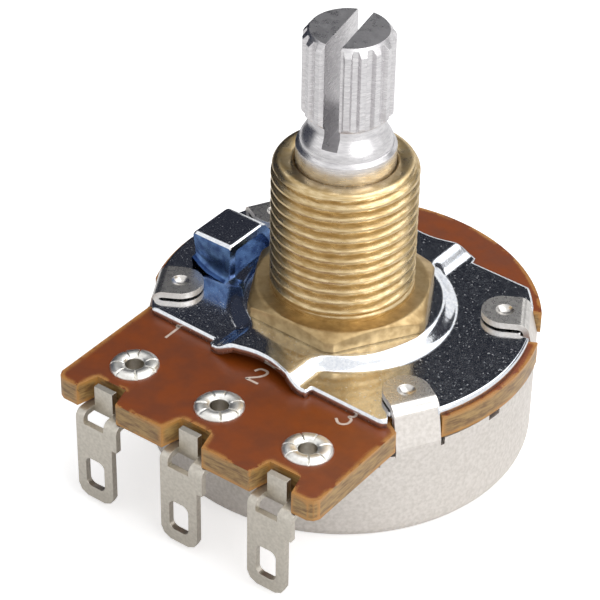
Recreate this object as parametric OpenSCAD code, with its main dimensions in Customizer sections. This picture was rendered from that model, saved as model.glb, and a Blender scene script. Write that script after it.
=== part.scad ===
// Panel potentiometer, 24 mm class, with a split knurled shaft and three solder lugs.
// The origin is on the shaft axis, in the plane of the hex shoulder that meets the panel.
// +Z runs up the shaft, +X along the row of lugs, and the lugs are on the -Y side.

/* [Bushing] */
// Major diameter of the threaded bushing
bushing_d = 9; // [8.6:0.1:9.4]
// Height of the bushing above its hex shoulder
bushing_h = 9; // [7:0.5:10]
// Pitch of the thread
thread_pitch = 0.75; // [0.5:0.25:1]
// Depth of the thread
thread_depth = 0.4; // [0.3:0.05:0.45]
// Width of the hex shoulder across its flats
hex_af = 11; // [10.4:0.2:12]
// Thickness of the hex shoulder
hex_t = 1.1; // [0.9:0.1:1.3]
// Radial play between the shaft and the bore
bore_play = 0.03; // [0.02:0.01:0.08]

/* [Shaft] */
// Diameter of the shaft in its bearing
shaft_d = 6.1; // [5.9:0.05:6.3]
// Height of the shaft's end above the hex shoulder
shaft_top = 17.8; // [16.5:0.1:20]
// Diameter over the knurl's teeth
knurl_d = 5.5; // [5.3:0.1:5.8]
// Depth of the knurl's teeth
knurl_depth = 0.28; // [0.15:0.01:0.4]
// Number of teeth around the knurl
knurl_teeth = 18; // [16:1:24]
// Height of the knurl's lower end
knurl_z = 12.55; // [12.2:0.05:13.5]
// Diameter of the neck under the knurl
neck_d = 4.5; // [4.2:0.1:5]
// Width of the sawn slot
slot_w = 1; // [0.8:0.1:1.2]
// Height of the slot's floor
slot_z = 10.9; // [10.6:0.1:12]
// Turn of the slot from the Y axis
slot_turn = 12; // [0:1:45]

/* [Front plate] */
// Step from the can's wall in to the plate's round sides
plate_inset = 0.65; // [0.5:0.05:1]
// Thickness of the plate's sheet
plate_t = 0.6; // [0.5:0.05:0.7]
// Height by which the middle disc and ridge are pressed up
press_h = 0.6; // [0.4:0.05:0.8]
// Radius of the pressed disc's flat top
disc_r = 6.1; // [5.8:0.1:6.2]
// Half width of the pressed ridge at its foot
ridge_w = 3.7; // [3.3:0.1:3.9]
// Front edge of the flat sheet, measured from the axis
plate_front = 7.9; // [7.6:0.1:8.4]
// Rear edge of the flat sheet, measured from the axis
plate_rear = 8.65; // [8.2:0.05:9]
// Height of the locating lug above the shoulder plane
locator_h = 0.8; // [0.6:0.1:1.4]

/* [Board] */
// Thickness of the laminate
board_t = 1.5; // [1.3:0.1:1.6]
// Step from the can's wall out to the board's round edge
board_lip = 0.05; // [0:0.01:0.1]
// Half width of the tongue that carries the lugs
tongue_w = 9.65; // [9.4:0.05:9.9]
// Reach of the tongue in front of the row of rivets
tongue_reach = 3.6; // [3.3:0.1:3.9]

/* [Terminals] */
// Spacing of the three terminals
pitch = 6.5; // [6.3:0.05:6.7]
// Step from the can's wall out to the row of rivets
rivet_out = 0.05; // [0:0.05:0.3]
// Thickness of the lug's sheet
lug_t = 0.4; // [0.35:0.05:0.6]
// Width of the lug at its solder end
lug_w = 2.75; // [2.6:0.05:3.2]
// Lowest point of the lugs
lug_low = -10.2; // [-10.4:0.1:-9.6]

/* [Can] */
// Outer radius of the can
can_r = 12.25; // [12.2:0.05:12.3]
// Flat underside of the can
can_low = -10.6; // [-11:0.1:-10.5]
// Thickness of the can's sheet
can_t = 0.4; // [0.3:0.05:0.45]
// Width of each crimp tab
tab_w = 2.9; // [2.6:0.1:3.1]
// Reach of each crimp tab in over the plate
tab_reach = 3.55; // [3.2:0.05:3.8]

/* [Rotation] */
// Turn from the middle to each stop
half_turn = 150; // [140:1:150]

/* [Hidden] */
$fn = 72;

// Clearance between parts that pass or face each other
gap = 0.1;
// Gap of faces that slide on each other
slide = 0.02;
// Overrun of a cutting tool past the face that it cuts
over = 1;

// Radii and rows that follow the can's wall
inner_r = can_r - can_t;
plate_r = can_r - plate_inset;
board_r = can_r + board_lip;
rivet_row = can_r + rivet_out;
tongue_front = rivet_row + tongue_reach;
tab_end_r = can_r - tab_reach;

// Levels of the stack below the shoulder plane, from the top down
disc_top = -hex_t;
flat_top = disc_top - press_h;
board_top = flat_top - plate_t;
board_low = board_top - board_t;
print_t = 0.05;
strip_top = board_low - print_t;
strip_low = strip_top - lug_t;
floor_top = can_low + can_t;

// Bushing below its shoulder
spigot_r = 3.9;
stake_r = 4.4;
stake_h = 0.35;
bushing_low = disc_top - plate_t - stake_h;
thread_chamfer = 0.45;
thread_crest = 0.2;
thread_root = 0.1;
thread_low = 0.3;
bore_chamfer = 0.25;
hex_corner_r = hex_af / 2 / cos(30) * 0.975;
bore_r = shaft_d / 2 + bore_play;

// Shaft features
shoulder_z = 10.25;
shoulder_edge = 0.2;
neck_low = 11.6;
neck_high = 12.1;
cone_r = 2.8;
cone_z = 10.6;
end_chamfer = 0.4;
neck_fillet = 0.25;
root_r = knurl_d / 2 - knurl_depth;
core_r = root_r - 0.4;
// Places of the two crest corners and the two root corners in one tooth's step
KNURL_STEPS = [0, 0.36, 0.5, 0.86];
drive_flat = 2.3;
groove_r = 2.55;
washer_t = 0.2;
ring_t = 0.5;
ring_mouth = 1.8;
washer_r = 4.3;
washer_top = bushing_low - slide;
ring_top = washer_top - washer_t;
ring_low = ring_top - ring_t;
drive_top = ring_low - 0.6;
rotor_top = -5.9;
rotor_low = -7.4;
hub_low = -8.6;
shaft_low = hub_low + 0.3;
rotor_r = inner_r - 1.65;
hub_r = 4.2;
nose_r = inner_r - 0.55;
stop_inner = rotor_r + 0.3;
stop_half = 14.4;
nose_half = 180 - half_turn - stop_half - 0.6;

// Front plate features
ridge_flank = 1.7;
ridge_front = plate_front + 0.2;
ridge_rear = plate_rear + 1;
ridge_curve = 12;
ridge_hollow = 0.2;
flank_w = 0.9;
flank_steps = 6;
locator_left = -plate_r + 1.8;
locator_right = locator_left + 2.95;
locator_front = -2.5;
locator_crease = 1;
locator_rear = 2.6;
locator_root = 0.25;
locator_edge = 0.15;

// Board features
board_shift = 0.4;
tongue_corner = 0.55;
corner_cut = 0.35;
notch_w = 3;
notch_inner = 2.2;
notch_depth = 1.45;
rivet_r = 0.95;
rivet_bore = 0.62;
flare_r = 1.5;
flare_h = 0.3;
flare_rim = 0.1;
tail_h = 0.25;

// Printed conductors under the board
track_r = rotor_r - 0.5;
track_w = 1.6;
track_half = 146;
pad_r = 1.7;
pad_neck = 1.2;
pad_spread = 6;
lead_w = 1.6;
collector_share = 0.31;
collector_r = hub_r + collector_share * (track_r - hub_r);
collector_w = 1.2;
board_hole = collector_r - collector_w / 2 - 3 * gap;

// Terminal features, in the terminal's own frame with its centre line on X = 0
strip_rear = rivet_row - 1.9;
bend_r = 0.12;
lug_corner = 0.7;
lug_face = tongue_front - gap / 2 + lug_t;
shoulder_w = 0.4;
shoulder_low = board_low - 1.9;
lug_eye_w = 1.45;
lug_eye_h = 2.2;
lug_eye_r = 0.45;
lug_eye_z = lug_low + 1.95;
tongue_tab_w = 1.4;
tongue_tab_y = tongue_front - 0.65;
tongue_tab_top = board_top - 0.1;
window_w = 1.55;
window_low = board_low - 0.85;

// Crimp tabs, two at each side, mirrored about the Y axis
TABS = [-32, 29, 151, 209];
// How far a folded tab leans in at its top
tab_lean = 0.45;
tab_notch_r = inner_r - tab_lean - gap;
tab_lift = 0.12;
dimple_r = 0.75;
dimple_depth = 0.25;
relief_w = 0.3;
tab_low = board_low - 0.6;
fold_r = 0.75;
rim_window_half = 47;
rim_window_low = board_low - 1.2;
rim_notch = 1;
stop_low = 0.8;
RIM_NOTCHES = [-5, 185, 90];
edge_r = 0.9;

TERMINALS = [-1, 0, 1];
lever_turn = 90;

// Wiper spring and brushes
brush_r = 0.5;
spring_t = 0.25;
arm_w = 1.4;
arm_reach = 2.4;
arm_rise = 1.25;
arm_seat = 0.5;

// Paper liner and dished washer under the rotor
liner_t = 0.2;
dish_bore_r = 1.6;
dish_seat_r = 3.4;
dish_r = 6.6;
dish_t = 0.25;

// A flat ring from r0 to r1 between two levels
module ring(r0, r1, z0, z1) {
    translate([0, 0, z0])
        difference() {
            cylinder(r = r1, h = z1 - z0);
            translate([0, 0, -over]) cylinder(r = r0, h = z1 - z0 + 2 * over);
        }
}

// Points on an arc
function arc(cx, cy, r, a0, a1, n = 8) = [
    for (i = [0 : n]) [cx + r * cos(a0 + (a1 - a0) * i / n), cy + r * sin(a0 + (a1 - a0) * i / n)]
];

// Rise of a pressed flank from 0 to 1, soft at both ends
function rise(t) = t * t * (3 - 2 * t);

// A sector of a ring, centred on an angle
module sector(r0, r1, z0, z1, middle, half) {
    translate([0, 0, z0])
        rotate([0, 0, middle - half])
            rotate_extrude(angle = 2 * half)
                translate([r0, 0]) square([r1 - r0, z1 - z0]);
}

// Outside of the thread: a ring-shaped groove for each turn, below the end chamfer
function thread_profile() = let (
    major = bushing_d / 2, minor = major - thread_depth, top = bushing_h - thread_chamfer,
    turns = floor((top - thread_low) / thread_pitch), low = top - turns * thread_pitch,
    flank = (thread_pitch - thread_crest - thread_root) / 2
) concat(
    [[0, 0], [major, 0]],
    [for (i = [0 : turns - 1], k = [0 : 3])
        [k == 0 || k == 3 ? major : minor,
         low + i * thread_pitch + [0, flank, flank + thread_root, 2 * flank + thread_root][k]]],
    [[major, top], [major - thread_chamfer, bushing_h], [0, bushing_h]]
);

// Threaded bushing with its hex shoulder and the spigot staked under the plate
module bushing() {
    color("#c8a468")
        difference() {
            union() {
                rotate_extrude() polygon(thread_profile());
                intersection() {
                    translate([0, 0, disc_top]) cylinder(r = hex_af / 2 / cos(30), h = hex_t, $fn = 6);
                    translate([0, 0, disc_top]) cylinder(r = hex_corner_r, h = hex_t);
                }
                translate([0, 0, disc_top - plate_t]) cylinder(r = spigot_r, h = plate_t);
                translate([0, 0, bushing_low])
                    cylinder(r1 = spigot_r + gap, r2 = stake_r, h = stake_h);
            }
            translate([0, 0, bushing_low - over])
                cylinder(r = bore_r, h = bushing_h - bushing_low + 2 * over);
            translate([0, 0, bushing_h - bore_chamfer + slide])
                cylinder(r1 = bore_r, r2 = bore_r + bore_chamfer, h = bore_chamfer);
        }
}

// Outline of one knurl tooth ring, as a closed star of flat-topped teeth
function knurl_points() = [
    for (i = [0 : knurl_teeth - 1], k = [0 : 3])
        let (step = 360 / knurl_teeth, a = step * (i + KNURL_STEPS[k]))
        let (r = k < 2 ? knurl_d / 2 : root_r)
        [r * cos(a), r * sin(a)]
];

// Split knurled shaft, turned from bar, with drive flats at its inner end
module shaft() {
    r = shaft_d / 2;
    color("#d6d6d8")
        difference() {
            union() {
                rotate_extrude()
                    polygon([
                        [0, shaft_low], [r, shaft_low], [r, shoulder_z - shoulder_edge],
                        [r - shoulder_edge, shoulder_z], [cone_r, shoulder_z], [cone_r, cone_z],
                        [neck_d / 2 + neck_fillet / 2, neck_low - neck_fillet], [neck_d / 2, neck_low],
                        [neck_d / 2, neck_high], [core_r, knurl_z],
                        [core_r, shaft_top - 2 * end_chamfer], [0, shaft_top - 2 * end_chamfer]
                    ]);
                // Knurl: a toothed bar trimmed by a chamfer at each end
                intersection() {
                    translate([0, 0, neck_high - gap])
                        linear_extrude(shaft_top - neck_high + gap) polygon(knurl_points());
                    rotate_extrude()
                        polygon([
                            [0, neck_high - gap / 2], [neck_d / 2 + slide, neck_high - gap / 2],
                            [knurl_d / 2 + slide, knurl_z],
                            [knurl_d / 2 + slide, shaft_top - end_chamfer - gap],
                            [root_r - gap, shaft_top - slide], [root_r - gap, shaft_top + over],
                            [0, shaft_top + over]
                        ]);
                }
            }
            // Saw slot that splits the knurled end
            rotate([0, 0, slot_turn])
                translate([-slot_w / 2, -shaft_d, slot_z]) cube([slot_w, 2 * shaft_d, shaft_top]);
            // Groove for the retaining ring
            ring(groove_r, r + over, ring_low, ring_top);
            // Drive flats that key the rotor
            for (side = [0, 180])
                rotate([0, 0, side])
                    translate([drive_flat, -shaft_d, hub_low - over])
                        cube([shaft_d, 2 * shaft_d, drive_top - hub_low + over]);
        }
}

// Washer that the retaining ring carries against the bushing's lower face
module thrust_washer() {
    color("#b8bcc0") ring(r0 = shaft_d / 2 + slide, r1 = washer_r, z0 = ring_top, z1 = washer_top);
}

// Open spring ring in the shaft's groove
module retaining_ring() {
    color("#8d9196")
        difference() {
            ring(groove_r, washer_r, ring_low, ring_top);
            translate([0, -ring_mouth / 2, ring_low - over])
                cube([washer_r + over, ring_mouth, ring_t + 2 * over]);
        }
}

// Top line of the ridge across X, lowered by t: flat in the middle with a soft flank at each side
function ridge_line(t) = concat(
    [for (i = [0 : flank_steps]) let (u = i / flank_steps)
        [-ridge_w + ridge_flank * u, flat_top - t + press_h * rise(u)]],
    [for (i = [0 : flank_steps]) let (u = 1 - i / flank_steps)
        [ridge_w - ridge_flank * u, flat_top - t + press_h * rise(u)]]
);

// The line's points in the other order
function backwards(points) = [for (i = [len(points) - 1 : -1 : 0]) points[i]];

// Outline of the flat sheet: round sides, straight front and rear edges
module plate_outline() {
    intersection() {
        difference() {
            circle(r = plate_r);
            tab_notches();
        }
        translate([-plate_r, -plate_front]) square([2 * plate_r, plate_front + plate_rear]);
    }
}

// Steel front plate with its pressed disc and ridge, and the drawn locating lug
module front_plate() {
    color("#8a8f96")
        difference() {
            union() {
                difference() {
                    translate([0, 0, board_top]) linear_extrude(plate_t) plate_outline();
                    // The ridge and the disc are pressed out of the flat sheet
                    translate([-ridge_w, -plate_front - over, board_top - over])
                        cube([2 * ridge_w, plate_front + plate_rear + 2 * over, plate_t + 2 * over]);
                    translate([0, 0, board_top - over]) cylinder(r = disc_r, h = plate_t + 2 * over);
                }
                // Ridge that runs from the front edge to the rear edge
                difference() {
                    translate([0, ridge_rear, 0])
                        rotate([90, 0, 0])
                            linear_extrude(ridge_front + ridge_rear)
                                polygon(concat(ridge_line(0), backwards(ridge_line(plate_t))));
                    // Hollow of the ridge's curved front and rear edges
                    for (end = [-1, 1])
                        translate([0, end > 0 ? ridge_rear + ridge_curve - ridge_hollow
                                              : -ridge_front - ridge_curve + ridge_hollow, board_top - over])
                            cylinder(r = ridge_curve, h = plate_t + press_h + 2 * over, $fn = 96);
                    translate([0, 0, board_top - over]) cylinder(r = disc_r, h = plate_t + press_h + 2 * over);
                }
                // Pressed disc under the hex shoulder, with its sloping flank
                rotate_extrude()
                    polygon(concat(
                        [[spigot_r, disc_top - plate_t]],
                        [for (i = [0 : flank_steps]) let (u = i / flank_steps)
                            [disc_r - gap + flank_w * u, board_top + press_h * (1 - rise(u))]],
                        [for (i = [0 : flank_steps]) let (u = 1 - i / flank_steps)
                            [disc_r + flank_w * u, flat_top + press_h * (1 - rise(u))]],
                        [[spigot_r, disc_top]]
                    ));
                // Locating lug that keys the body to the panel
                translate([locator_left, 0, 0])
                    rotate([90, 0, 90])
                        linear_extrude(locator_right - locator_left)
                            polygon([
                                [locator_front - locator_root, flat_top - gap],
                                [locator_front, flat_top + locator_root],
                                [locator_front, locator_h - locator_edge],
                                [locator_front + locator_edge, locator_h],
                                [locator_crease, locator_h], [locator_rear, flat_top - gap]
                            ]);
            }
            // Hollow under the drawn lug
            translate([locator_left + plate_t, 0, 0])
                rotate([90, 0, 90])
                    linear_extrude(locator_right - locator_left - 2 * plate_t)
                        polygon([
                            [locator_front + plate_t, board_top - over],
                            [locator_front + plate_t, locator_h - plate_t],
                            [locator_crease - plate_t / 2, locator_h - plate_t],
                            [locator_rear - 2 * plate_t, board_top - over]
                        ]);
            // Locating hole for the bushing's spigot
            translate([0, 0, board_top - over]) cylinder(r = spigot_r, h = plate_t + press_h + 2 * over);
        }
}

// Board outline: a round part and a square tongue with clipped corners
module board_outline() {
    translate([0, board_shift]) circle(r = board_r);
    polygon([
        [-tongue_w, 0], [-tongue_w, -tongue_front + tongue_corner],
        [-tongue_w + tongue_corner * corner_cut, -tongue_front + tongue_corner * corner_cut],
        [-tongue_w + tongue_corner, -tongue_front], [tongue_w - tongue_corner, -tongue_front],
        [tongue_w - tongue_corner * corner_cut, -tongue_front + tongue_corner * corner_cut],
        [tongue_w, -tongue_front + tongue_corner], [tongue_w, 0]
    ]);
}

// Notches that let the can's crimp tabs through
module tab_notches() {
    for (a = TABS)
        rotate(a)
            translate([tab_notch_r, -tab_w / 2 - gap])
                square([board_r + board_shift + over - tab_notch_r, tab_w + 2 * gap]);
}

// Paper laminate board
module board() {
    color("#8a4a28")
        translate([0, 0, board_low])
            linear_extrude(board_t)
                difference() {
                    board_outline();
                    circle(r = board_hole);
                    // Notches for the terminals' upright tongues
                    for (i = TERMINALS)
                        translate([i * pitch, -tongue_front])
                            polygon([
                                [-notch_w / 2, -over], [-notch_w / 2, 0], [-notch_inner / 2, notch_depth],
                                [notch_inner / 2, notch_depth], [notch_w / 2, 0], [notch_w / 2, -over]
                            ]);
                    for (i = TERMINALS)
                        translate([i * pitch, -rivet_row]) circle(r = rivet_r, $fn = 36);
                    // Notches for the can's crimp tabs
                    tab_notches();
                }
}

// Carbon track printed on the board's underside
module resistive_track() {
    color("#1c1c1e")
        sector(track_r - track_w / 2, track_r + track_w / 2, strip_top, board_low, 90, track_half);
}

// Silver pad that joins the track's left end to terminal 1
module track_pad() {
    a = 90 + track_half;
    color("#c9c9c4")
        translate([0, 0, strip_top])
            linear_extrude(print_t)
                difference() {
                    union() {
                        translate([-pitch, -rivet_row]) circle(r = pad_r, $fn = 36);
                        polygon([
                            [-pitch - pad_neck, -rivet_row], [-pitch + pad_neck, -rivet_row],
                            track_r * [cos(a + pad_spread), sin(a + pad_spread)],
                            track_r * [cos(a - pad_spread), sin(a - pad_spread)]
                        ]);
                    }
                    circle(r = track_r + track_w / 2);
                    translate([-pitch, -rivet_row]) circle(r = rivet_r, $fn = 36);
                }
}

module track_end_1() {
    track_pad();
}

module track_end_3() {
    mirror([1, 0, 0]) track_pad();
}

// Silver ring that the inner brush rides on, with its lead to the middle terminal
module collector_ring() {
    color("#c9c9c4")
        translate([0, 0, strip_top])
            linear_extrude(print_t)
                difference() {
                    union() {
                        circle(r = collector_r + collector_w / 2);
                        translate([-lead_w / 2, -rivet_row]) square([lead_w, rivet_row - collector_r]);
                        translate([0, -rivet_row]) circle(r = pad_r, $fn = 36);
                    }
                    circle(r = collector_r - collector_w / 2);
                    translate([0, -rivet_row]) circle(r = rivet_r, $fn = 36);
                }
}

// Solder terminal: strip under the board, lug bent down at its edge, upright tongue in the notch
module terminal(i) {
    color("#c8c4bc")
        translate([i * pitch, 0, 0])
            difference() {
                union() {
                    // Strip under the board and the bend into the lug
                    translate([lug_w / 2 + shoulder_w, 0, 0])
                        rotate([90, 0, -90])
                            linear_extrude(lug_w + shoulder_w)
                                polygon(concat(
                                    [[strip_rear, strip_low], [strip_rear, strip_top]],
                                    arc(lug_face - lug_t - bend_r, strip_low - bend_r, lug_t + bend_r, 90, 0),
                                    [[lug_face, shoulder_low], [lug_face - lug_t, shoulder_low]],
                                    arc(lug_face - lug_t - bend_r, strip_low - bend_r, bend_r, 0, 90, 4)
                                ));
                    // Solder lug with clipped lower corners
                    translate([0, -lug_face + lug_t, 0])
                        rotate([90, 0, 0])
                            linear_extrude(lug_t)
                                polygon([
                                    [-lug_w / 2, shoulder_low + bend_r], [-lug_w / 2, lug_low + lug_corner],
                                    [-lug_w / 2 + lug_corner / 3, lug_low + lug_corner / 3],
                                    [-lug_w / 2 + lug_corner, lug_low], [lug_w / 2 - lug_corner, lug_low],
                                    [lug_w / 2 - lug_corner / 3, lug_low + lug_corner / 3],
                                    [lug_w / 2, lug_low + lug_corner], [lug_w / 2, shoulder_low + bend_r]
                                ]);
                    // Upright tongue
                    translate([-tongue_tab_w / 2, -tongue_tab_y, strip_low])
                        cube([tongue_tab_w, lug_t, tongue_tab_top - strip_low]);
                }
                // Window that the tongue leaves in the bend
                translate([-window_w / 2, -lug_face - over, window_low])
                    cube([window_w, lug_face - tongue_tab_y + over, board_top - window_low]);
                // Long eye for the wire
                translate([0, -lug_face + lug_t + over, lug_eye_z])
                    rotate([90, 0, 0])
                        linear_extrude(lug_t + 2 * over)
                            union() {
                                square([lug_eye_w, lug_eye_h - 2 * lug_eye_r], center = true);
                                square([lug_eye_w - 2 * lug_eye_r, lug_eye_h], center = true);
                                for (x = [-1, 1], y = [-1, 1])
                                    translate([x * lug_eye_w / 2 - x * lug_eye_r,
                                               y * lug_eye_h / 2 - y * lug_eye_r])
                                        circle(r = lug_eye_r, $fn = 24);
                            }
                translate([0, -rivet_row, strip_low - over])
                    cylinder(r = rivet_r, h = lug_t + 2 * over, $fn = 36);
            }
}

// Flared eyelet that clamps a terminal to the board
module rivet(i) {
    color("#d8d8d4")
        translate([i * pitch, -rivet_row, 0])
            rotate_extrude($fn = 48)
                polygon([
                    [rivet_bore, strip_low - tail_h], [flare_r - flare_rim, strip_low - tail_h],
                    [flare_r, strip_low - flare_rim], [flare_r, strip_low], [rivet_r, strip_low],
                    [rivet_r, board_top], [flare_r, board_top], [flare_r, board_top + flare_rim],
                    [flare_r - flare_h, board_top + flare_h], [flare_r - 2 * flare_h, board_top + flare_h],
                    [rivet_bore, board_top + flare_rim / 2]
                ]);
}

// Profile of a crimp tab in the radius and height plane: leaning wall, fold and the end over the plate
function tab_profile() =
    let (z_in = flat_top + tab_lift, z_out = z_in + can_t, fold_x = can_r - tab_lean - fold_r) concat(
        [[inner_r, board_low], [inner_r, tab_low], [can_r, tab_low], [can_r, board_low]],
        arc(fold_x, z_out - fold_r, fold_r, 0, 90),
        [[tab_end_r, z_out], [tab_end_r, z_in]],
        arc(fold_x, z_out - fold_r, fold_r - can_t, 90, 0)
    );

// One crimp tab with its round end and the dimple that locks it
module crimp_tab() {
    difference() {
        intersection() {
            translate([0, tab_w / 2, 0]) rotate([90, 0, 0]) linear_extrude(tab_w) polygon(tab_profile());
            translate([0, 0, tab_low - over])
                linear_extrude(can_r) {
                    translate([tab_end_r + tab_w / 2, 0]) circle(r = tab_w / 2, $fn = 36);
                    translate([tab_end_r + tab_w / 2, -tab_w / 2]) square([can_r - tab_end_r, tab_w]);
                }
        }
        translate([tab_end_r + tab_w / 2, 0, flat_top + tab_lift + can_t + dimple_r - dimple_depth])
            sphere(r = dimple_r, $fn = 32);
    }
}

// Pressed steel can with its rim window, crimp tabs and inner stop
module can() {
    color("#dedbd6")
        union() {
            difference() {
                rotate_extrude($fn = 96)
                    polygon(concat(
                        [[0, can_low]],
                        arc(can_r - edge_r, can_low + edge_r, edge_r, -90, 0),
                        [[can_r, board_low], [inner_r, board_low]],
                        arc(can_r - edge_r, can_low + edge_r, edge_r - can_t, 0, -90),
                        [[0, floor_top]]
                    ));
                // Window in the rim where the terminal strips come out
                sector(inner_r - over, can_r + over, rim_window_low, 0, -90, rim_window_half);
                // Small notches in the rim beside the board's tongue and at the rear
                for (a = RIM_NOTCHES)
                    rotate([0, 0, a])
                        translate([inner_r - over, -rim_notch / 2, tab_low + 2 * gap])
                            cube([can_t + 2 * over, rim_notch, board_t]);
                // Relief cuts at the roots of the crimp tabs
                for (a = TABS, side = [-1, 1])
                    rotate([0, 0, a])
                        translate([inner_r - over, side * (tab_w + relief_w) / 2 - relief_w / 2, tab_low + gap])
                            cube([can_t + 2 * over, relief_w, board_t]);
            }
            for (a = TABS)
                rotate([0, 0, a]) crimp_tab();
            // Stop lanced inwards from the wall
            sector(stop_inner, inner_r + can_t / 2, floor_top + stop_low, rotor_top - 3 * gap, -90, stop_half);
        }
}

// Insulating paper on the can's floor
module can_liner() {
    color("#b9a27a") translate([0, 0, floor_top]) cylinder(r = can_r - edge_r - gap, h = liner_t);
}

// Moulded rotor with its keyed hub and stop nose
module rotor() {
    color("#2c2a28")
        difference() {
            union() {
                translate([0, 0, rotor_low]) cylinder(r = rotor_r, h = rotor_top - rotor_low);
                translate([0, 0, hub_low]) cylinder(r = hub_r, h = drive_top - 0.2 - hub_low);
                sector(rotor_r - 1, nose_r, rotor_low, rotor_top, lever_turn, nose_half);
            }
            // Keyed bore on the shaft's drive flats
            intersection() {
                translate([0, 0, hub_low - over]) cylinder(r = shaft_d / 2, h = drive_top - hub_low + 2 * over);
                translate([-drive_flat, -shaft_d, hub_low - over])
                    cube([2 * drive_flat, 2 * shaft_d, drive_top - hub_low + 2 * over]);
            }
            // Lightening pocket in the rotor's underside
            ring(hub_r + 1.2, rotor_r - 1.4, rotor_low - over, rotor_low + 0.6);
        }
}

// One sprung arm of the wiper: a strip that ramps up along its circle to the brush
module wiper_arm(radius) {
    translate([0, radius + arm_w / 2, rotor_top])
        rotate([90, 0, 0])
            linear_extrude(arm_w)
                polygon([
                    [-arm_reach, 0], [-arm_reach + arm_seat, 0], [gap - arm_seat, arm_rise - spring_t],
                    [arm_seat, arm_rise - spring_t], [arm_seat, arm_rise], [-arm_seat, arm_rise],
                    [-arm_reach, spring_t]
                ]);
}

// Wiper spring: a flat ring on the rotor with an arm for each brush
module wiper_spring() {
    color("#c9b37a")
        union() {
            ring(hub_r + gap, collector_r + arm_w, rotor_top, rotor_top + spring_t);
            translate([-arm_reach - arm_seat / 2, collector_r, rotor_top])
                cube([arm_w, track_r + arm_w / 2 - collector_r, spring_t]);
            wiper_arm(track_r);
            wiper_arm(collector_r);
        }
}

// Contact button at the end of an arm, a slide clearance below its print
module brush(radius) {
    low = rotor_top + arm_rise;
    color("#3a3a3c")
        rotate([0, 0, lever_turn])
            translate([radius, 0, low]) cylinder(r = brush_r, h = strip_top - slide - low, $fn = 36);
}

module track_brush() {
    brush(track_r);
}

module collector_brush() {
    brush(collector_r);
}

// Dished washer that pushes the rotor towards the board
module spring_washer() {
    low = floor_top + liner_t;
    high = hub_low - slide;
    color("#9aa0a6")
        rotate_extrude()
            polygon([
                [dish_bore_r, high - dish_t], [dish_bore_r, high], [dish_seat_r, high],
                [dish_r, low + dish_t], [dish_r, low], [dish_seat_r, high - dish_t]
            ]);
}

can();
can_liner();
board();
resistive_track();
track_end_1();
track_end_3();
collector_ring();
front_plate();
bushing();
terminal(-1);  // terminal_1
terminal(0);  // terminal_2
terminal(1);  // terminal_3
rivet(-1);  // rivet_1
rivet(0);  // rivet_2
rivet(1);  // rivet_3
shaft();
thrust_washer();
retaining_ring();
rotor();
wiper_spring();
track_brush();
collector_brush();
spring_washer();
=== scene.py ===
"""Studio scene of a panel potentiometer, dressed over its CAD frame.

Every length is in metres in the row frame: the origin is on the shaft axis in the plane of the
hex shoulder, +Z runs up the shaft and the solder lugs are on the -Y side.
"""

from __future__ import annotations

import logging
import math
from dataclasses import dataclass, field
from enum import Enum
from typing import Callable, Iterable, Sequence

import bpy
from mathutils import Matrix, Vector

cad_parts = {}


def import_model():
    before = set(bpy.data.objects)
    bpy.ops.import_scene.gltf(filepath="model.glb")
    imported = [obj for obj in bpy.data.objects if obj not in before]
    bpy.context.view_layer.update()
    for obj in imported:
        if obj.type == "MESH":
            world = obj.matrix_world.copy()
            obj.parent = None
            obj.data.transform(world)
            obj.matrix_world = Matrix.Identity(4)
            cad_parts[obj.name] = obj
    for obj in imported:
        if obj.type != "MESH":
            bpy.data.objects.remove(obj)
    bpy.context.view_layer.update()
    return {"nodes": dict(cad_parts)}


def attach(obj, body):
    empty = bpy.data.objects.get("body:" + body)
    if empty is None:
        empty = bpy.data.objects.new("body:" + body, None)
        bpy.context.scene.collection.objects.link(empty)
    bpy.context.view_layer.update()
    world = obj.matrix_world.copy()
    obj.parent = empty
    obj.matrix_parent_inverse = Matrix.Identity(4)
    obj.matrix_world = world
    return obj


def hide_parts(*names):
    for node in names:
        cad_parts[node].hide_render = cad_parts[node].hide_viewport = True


LOG = logging.getLogger("potentiometer")
MM = 0.001
HOUSING = "housing"
BEVEL_SAMPLES = 6

Point = tuple[float, float, float]


def srgb(code: str) -> tuple[float, float, float, float]:
    """Turn an sRGB hex colour into a linear RGBA colour.

    Args:
        code: six hex digits with a leading hash.

    Returns:
        The linear colour with full alpha.
    """
    parts = [int(code[i:i + 2], 16) / 255 for i in (1, 3, 5)]
    linear = [c / 12.92 if c <= 0.04045 else ((c + 0.055) / 1.055) ** 2.4 for c in parts]
    return (linear[0], linear[1], linear[2], 1.0)


def per_mm(size_mm: float) -> float:
    """Return the texture scale at which one cell of a pattern is size_mm wide."""
    return 1.0 / (size_mm * MM)


def smooth(t: float) -> float:
    """Return the smooth step of t, held to 0 and 1 outside that range."""
    t = max(0.0, min(1.0, t))
    return t * t * (3 - 2 * t)


def add_node(tree: bpy.types.NodeTree, kind: str, inputs: dict[str | int, object] | None = None,
             **settings: object) -> bpy.types.Node:
    """Add one shader node with its settings and links.

    Args:
        tree: the node tree that gets the node.
        kind: the node's type name.
        inputs: a value or an output socket for each named or numbered input.
        settings: properties of the node itself.

    Returns:
        The new node.
    """
    made = tree.nodes.new(kind)
    for name, value in settings.items():
        setattr(made, name, value)
    for name, value in (inputs or {}).items():
        if isinstance(value, bpy.types.NodeSocket):
            tree.links.new(value, made.inputs[name])
        else:
            made.inputs[name].default_value = value
    return made


def clear_tree(owner: bpy.types.Material | bpy.types.World) -> bpy.types.NodeTree:
    """Give a material or a world an empty node tree.

    Args:
        owner: the material or world.

    Returns:
        Its node tree, with no nodes.
    """
    owner.use_nodes = True
    owner.node_tree.nodes.clear()
    return owner.node_tree


def shader_of(material: bpy.types.Material) -> bpy.types.Node:
    """Return a material's Principled shader."""
    return next(n for n in material.node_tree.nodes if n.type == "BSDF_PRINCIPLED")


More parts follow.
